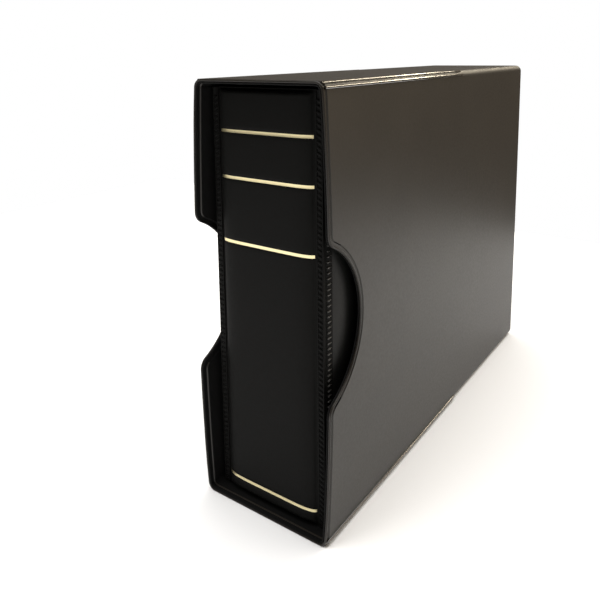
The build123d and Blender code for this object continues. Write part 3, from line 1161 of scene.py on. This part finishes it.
class BINDER_OT_finishes(Operator):
    """Materials, put on every CAD node by its slot"""

    bl_idname = "binder.finishes"
    bl_label = "Finishes"

    def execute(self, context):
        case = context.scene.binder_case
        wrap = case.case_colour
        book = case.binder_colour
        # Name, colour, worn colour, gloss, least and most roughness, height of the grain in millimetres
        # and coat. Welding bars leave the beads and ridges smoother than the grain beside them, and the
        # covers' padding is stretched, which leaves it glossier than the spine's.
        leatherettes = [
            embossed_leatherette(*settings)
            for settings in (
                ("leatherette_case", wrap, "#37332d", 0.42, 0.38, 0.47, 0.05, 0.0),
                ("leatherette_binder", book, "#0f0f0e", 0.07, 0.48, 0.6, 0.05, 0.0),
                ("leatherette_bead", wrap, "#2a2723", 0.3, 0.3, 0.36, 0.006, 0.0),
                ("leatherette_welt", wrap, "#37332d", 0.9, 0.15, 0.2, 0.003, 1.0),
                # The covers' moulded stitches are the binder's black leatherette; their lighter colour and
                # lighter worn colour are a painted highlight on the tops of the bars
                ("leatherette_stitch_painted_highlight", "#2c2b28", "#37352f", 0.7, 0.25, 0.3, 0.006, 0.0),
                ("leatherette_cover", book, "#121211", 0.22, 0.42, 0.5, 0.05, 0.0),
            )
        ]
        by_slot = {
            "case_leatherette": leatherettes[0],
            "binder_leatherette": leatherettes[1],
            "black_lining": black_lining(),
            "greyboard": greyboard(),
            "gold_foil": gold_foil(case.gold_colour),
            "nickel_plated_steel": nickel_plate(),
        }
        for part in frame["record"]["subparts"]:
            node = frame["nodes"][part["node"]]
            node.data.materials.clear()
            node.data.materials.append(by_slot[part["material_slot"]])
        return {"FINISHED"}


def add_softbox(name, place, aim, size, power, colour, reflected):
    """A rectangular soft light that the camera doesn't see."""
    bpy.ops.object.light_add(type="AREA", location=place)
    light = bpy.context.active_object
    light.name = name
    light.data.shape = "RECTANGLE"
    light.data.size, light.data.size_y = size
    light.data.energy = power
    light.data.color = linear(colour)[:3]
    light.visible_camera = False
    light.visible_glossy = reflected
    light.rotation_euler = (Vector(place) - Vector(aim)).to_track_quat("Z", "Y").to_euler()


def studio_world():
    """A studio that is white to the camera, and dim where it lights the object and shows in reflections."""
    world = bpy.data.worlds.new("studio")
    world.use_nodes = True
    tree = world.node_tree
    tree.nodes.clear()
    path = add_node(tree, "ShaderNodeLightPath")
    seen = add_node(tree, "ShaderNodeBackground", {"Color": (1, 1, 1, 1), "Strength": 1.0})
    # It is brightest above, behind and to the right of the object, and darkest in front of it
    way = add_node(tree, "ShaderNodeTexCoord")
    towards = add_node(
        tree,
        "ShaderNodeVectorMath",
        {0: way.outputs["Generated"], 1: (0.4, 0.5, 0.77)},
        operation="DOT_PRODUCT",
    )
    limits = {"From Min": -0.4, "From Max": 0.95, "To Min": 0.02, "To Max": 0.22}
    bright = add_node(tree, "ShaderNodeMapRange", {"Value": towards.outputs["Value"], **limits})
    felt = add_node(
        tree, "ShaderNodeBackground", {"Color": linear("#ffe9cc"), "Strength": bright.outputs["Result"]}
    )
    both = add_node(
        tree,
        "ShaderNodeMixShader",
        {0: path.outputs["Is Camera Ray"], 1: felt.outputs[0], 2: seen.outputs[0]},
    )
    add_node(tree, "ShaderNodeOutputWorld", {"Surface": both.outputs[0]})
    return world


class BINDER_OT_stage(Operator):
    """Pale floor, soft lights and the camera"""

    bl_idname = "binder.stage"
    bl_label = "Stage"

    def execute(self, context):
        stage = context.scene.binder_stage
        clear_selection()
        # The paper is as white as the studio, and so short that the leatherette reflects the dark past it
        bpy.ops.mesh.primitive_plane_add(size=1, location=(0.65, -0.5, 0))
        bpy.context.active_object.scale = (2.9, 2.0, 1)
        floor = settle("floor")
        floor.data.materials.append(pale_floor(stage.floor_colour))
        add_softbox("rear_softbox", (1.7, 1.3, 0.25), (0.04, 0.12, 0.1), (1.0, 0.5), 3.2, "#ffe4bd", True)
        add_softbox("strip_softbox", (0.75, 2.3, 1.35), (0.75, 0, 0.24), (1.9, 0.15), 21, "#fff0d4", True)
        # The front light only lifts the shadow on the floor, so it is kept out of the reflections
        add_softbox("front_softbox", (-0.8, -1.1, 1.5), (-0.05, -0.3, 0), (1.2, 1.2), 20, "#ffffff", False)
        bpy.ops.object.light_add(type="SUN", location=(0, 0, 3))
        sun = bpy.context.active_object
        sun.name = "ceiling"
        sun.data.energy = 3.4
        sun.data.angle = radians(70)
        sun.rotation_euler = (radians(-12), radians(2), 0)
        context.scene.view_settings.view_transform = "Standard"
        context.scene.world = studio_world()
        bpy.ops.object.camera_add(location=stage.camera_place)
        camera = bpy.context.active_object
        camera.name = "camera"
        camera.data.lens = stage.lens
        camera.data.sensor_width = 36
        camera.data.shift_y = stage.shift
        camera.rotation_euler = (
            Matrix.Rotation(stage.azimuth, 3, "Z")
            @ Matrix.Rotation(pi / 2 - stage.elevation, 3, "X")
            @ Matrix.Rotation(stage.roll, 3, "Z")
        ).to_euler()
        context.scene.camera = camera
        return {"FINISHED"}


class BINDER_PT_panel(Panel):
    """Lists the pieces of the binder and its case"""

    bl_label = "Binder"
    bl_idname = "BINDER_PT_panel"
    bl_space_type = "VIEW_3D"
    bl_region_type = "UI"
    bl_category = "Binder"

    def draw(self, context):
        for operator in OPERATORS:
            self.layout.operator(operator.bl_idname)


OPERATORS = (
    BINDER_OT_finishes,
    BINDER_OT_sleeve,
    BINDER_OT_beads,
    BINDER_OT_welts,
    BINDER_OT_back_panel,
    BINDER_OT_spine,
    BINDER_OT_gold_lines,
    BINDER_OT_stitching,
    BINDER_OT_covers,
    BINDER_OT_turn_ins,
    BINDER_OT_stage,
)
CLASSES = (CaseSettings, BinderSettings, StageSettings, *OPERATORS, BINDER_PT_panel)


def register():
    for item in CLASSES:
        bpy.utils.register_class(item)
    bpy.types.Scene.binder_case = PointerProperty(type=CaseSettings)
    bpy.types.Scene.binder_book = PointerProperty(type=BinderSettings)
    bpy.types.Scene.binder_stage = PointerProperty(type=StageSettings)


def unregister():
    del bpy.types.Scene.binder_stage
    del bpy.types.Scene.binder_book
    del bpy.types.Scene.binder_case
    for item in reversed(CLASSES):
        bpy.utils.unregister_class(item)


def main():
    register()
    for operator in OPERATORS:
        group, name = operator.bl_idname.split(".")
        getattr(getattr(bpy.ops, group), name)()


if __name__ == "__main__":
    main()
